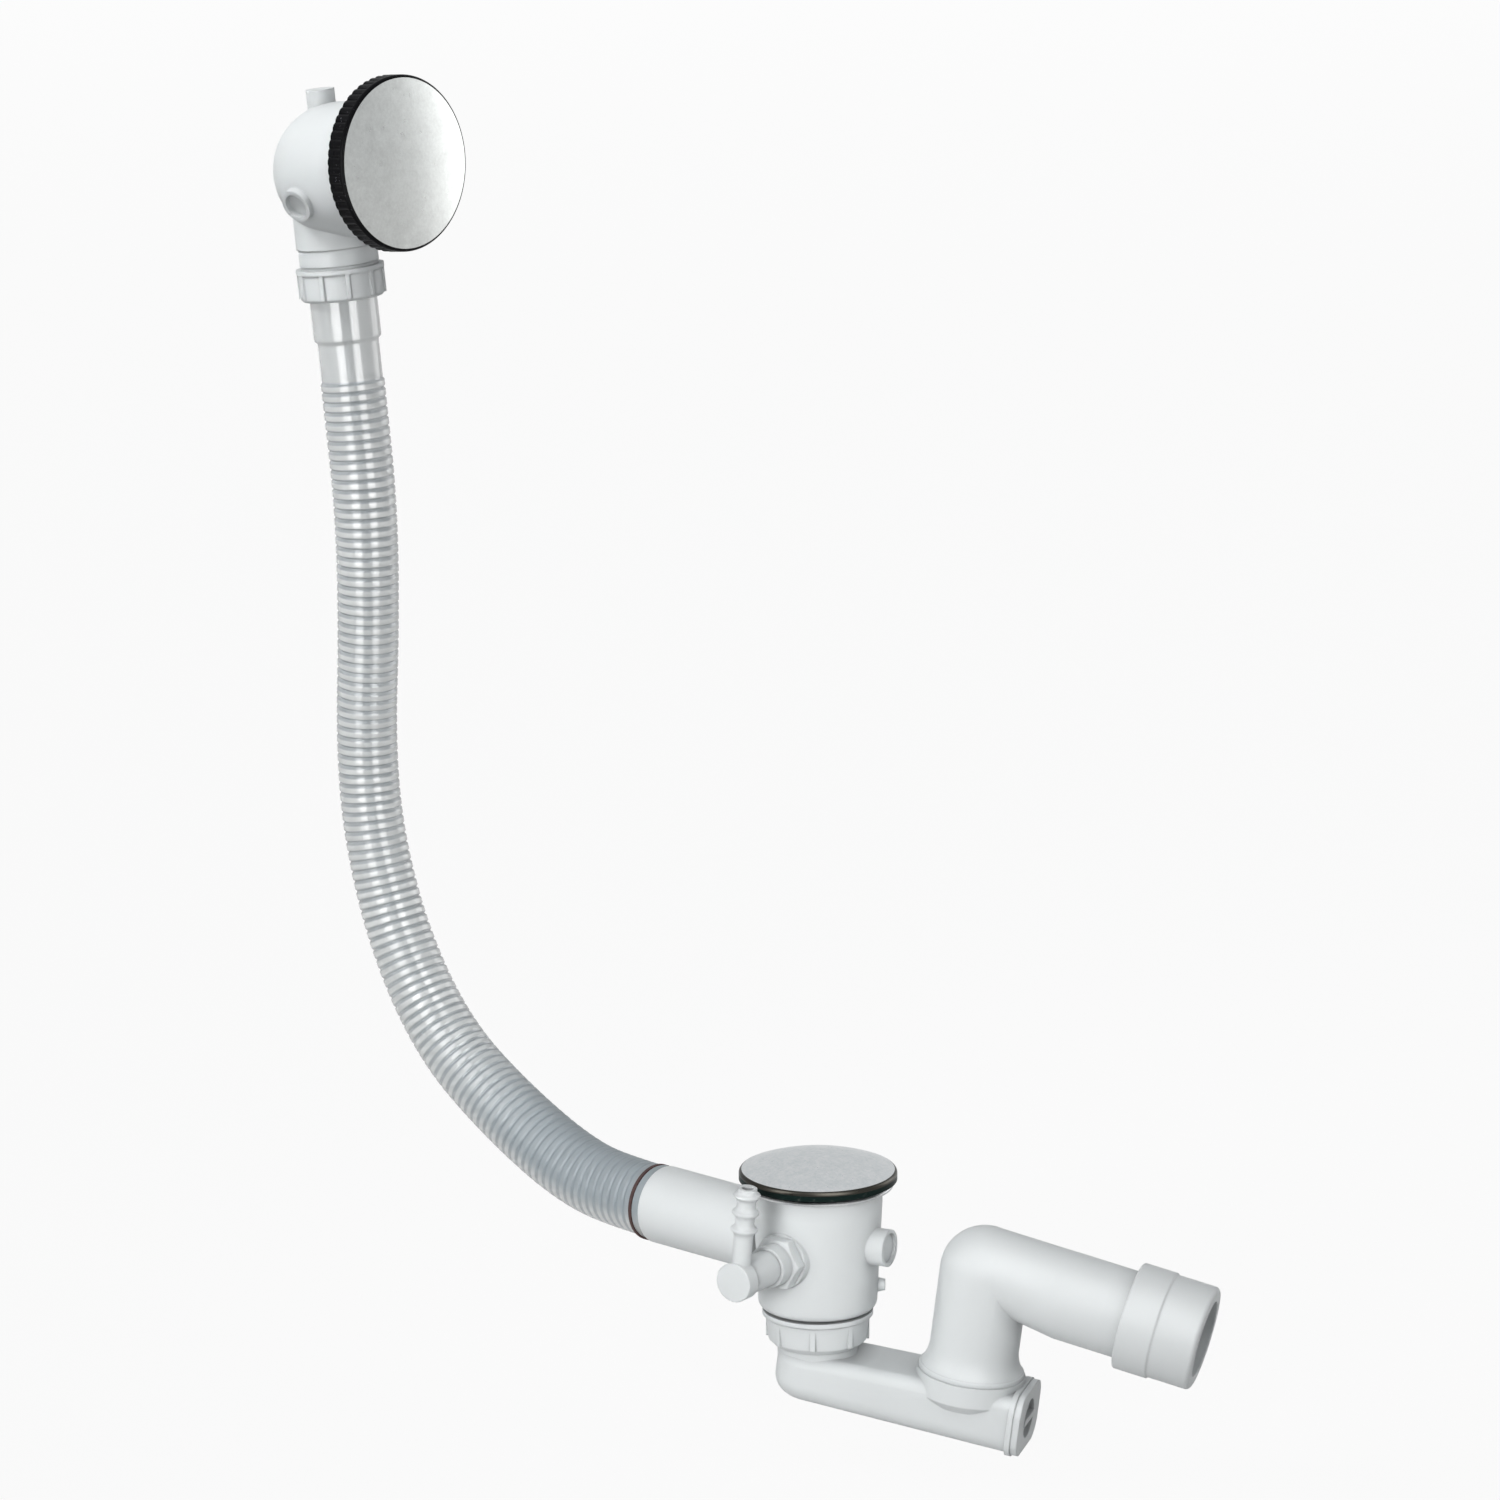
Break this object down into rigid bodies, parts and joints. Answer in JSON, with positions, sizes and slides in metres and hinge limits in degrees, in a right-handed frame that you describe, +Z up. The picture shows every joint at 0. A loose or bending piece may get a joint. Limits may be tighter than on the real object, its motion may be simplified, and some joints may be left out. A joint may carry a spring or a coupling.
{
  "type": "bath waste and overflow",
  "caption": "Bath waste with a turn-knob overflow, a clear ribbed overflow hose, a swivelling drain nozzle, a flat trap and an outlet elbow.",
  "frame": {"origin": "centre of the waste flange's underside, on the waste's axis, where the flange sits on the bath floor", "axes": "+Z up along the waste's axis, +X from the overflow towards the waste and on, +Y to the left of +X"},
  "size_m": [0.5026, 0.1723, 0.5991],
  "materials": {
    "white_plastic": "moulded white polypropylene with a soft sheen",
    "chrome": "satin chrome plating",
    "steel": "plain stainless steel",
    "seal_rubber": "black rubber",
    "brown_rubber": "dark brown rubber ring",
    "lever_plastic": "grey acetal",
    "cable_plastic": "pale grey cable casing",
    "clear_plastic": "clear ribbed hose, slightly grey"
  },
  "bodies": {
    "fittings": {"waste_flange": "chrome", "waste_gasket": "seal_rubber", "clamp_screw": "steel", "waste_body": "white_plastic", "lever_pin": "steel", "nozzle_bush": "white_plastic", "nozzle_seal": "seal_rubber", "trap_nut": "white_plastic", "trap_washer": "seal_rubber", "trap_body": "white_plastic", "riser_seal": "seal_rubber", "cleaning_cover": "white_plastic", "cleaning_seal": "seal_rubber", "overflow_body": "white_plastic", "overflow_gasket": "seal_rubber", "overflow_plate": "steel", "overflow_screws": "steel", "overflow_nut": "white_plastic", "overflow_washer": "seal_rubber", "overflow_hose": "clear_plastic", "hose_ring": "brown_rubber", "lower_ferrule": "steel", "upper_ferrule": "steel", "cable_casing": "cable_plastic", "lower_holder": "white_plastic", "upper_holder": "white_plastic", "wire_run": "steel"},
    "plug": {"plug_cap": "chrome", "plug_seal": "seal_rubber", "plug_stem": "steel"},
    "lever": {"lift_lever": "lever_plastic"},
    "wire": {"pull_wire": "steel"},
    "nozzle": {"drain_nozzle": "white_plastic"},
    "outlet": {"outlet_elbow": "white_plastic", "outlet_sleeve": "white_plastic", "sleeve_seal": "seal_rubber"},
    "knob": {"overflow_knob": "chrome", "cable_drum": "white_plastic", "wire_turn": "steel"}
  },
  "joints": [
    {"name": "knob_turn", "type": "hinge", "parent": "fittings", "child": "knob", "pos_m": [-0.2684, 0, 0.4385], "axis": [0.9903, 0, 0.1392], "range_deg": [0, 80]},
    {"name": "plug_lift", "type": "slide", "parent": "fittings", "child": "plug", "axis": [0, 0, 1], "range_m": [0, 0.00981]},
    {"name": "lever_swing", "type": "hinge", "parent": "fittings", "child": "lever", "pos_m": [-0.014, 0, -0.04361], "axis": [0, -1, 0], "range_deg": [0, 41]},
    {"name": "wire_pull", "type": "slide", "parent": "fittings", "child": "wire", "axis": [-1, 0, 0], "range_m": [0, 0.00981]},
    {"name": "nozzle_swivel", "type": "hinge", "parent": "fittings", "child": "nozzle", "pos_m": [0, 0, -0.029], "axis": [0.1305, -0.9914, 0], "range_deg": [-90, 90]},
    {"name": "outlet_swivel", "type": "hinge", "parent": "fittings", "child": "outlet", "pos_m": [0.06428, 0.03275, -0.08649], "axis": [0.1101, 0.0561, 0.9923], "range_deg": [-100, 110]}
  ],
  "couplings": [
    {"joint": "plug_lift", "follows": "knob_turn", "m_per_rad": 0.0070222},
    {"joint": "lever_swing", "follows": "knob_turn", "ratio": 0.5125},
    {"joint": "wire_pull", "follows": "knob_turn", "m_per_rad": 0.0070222}
  ]
}
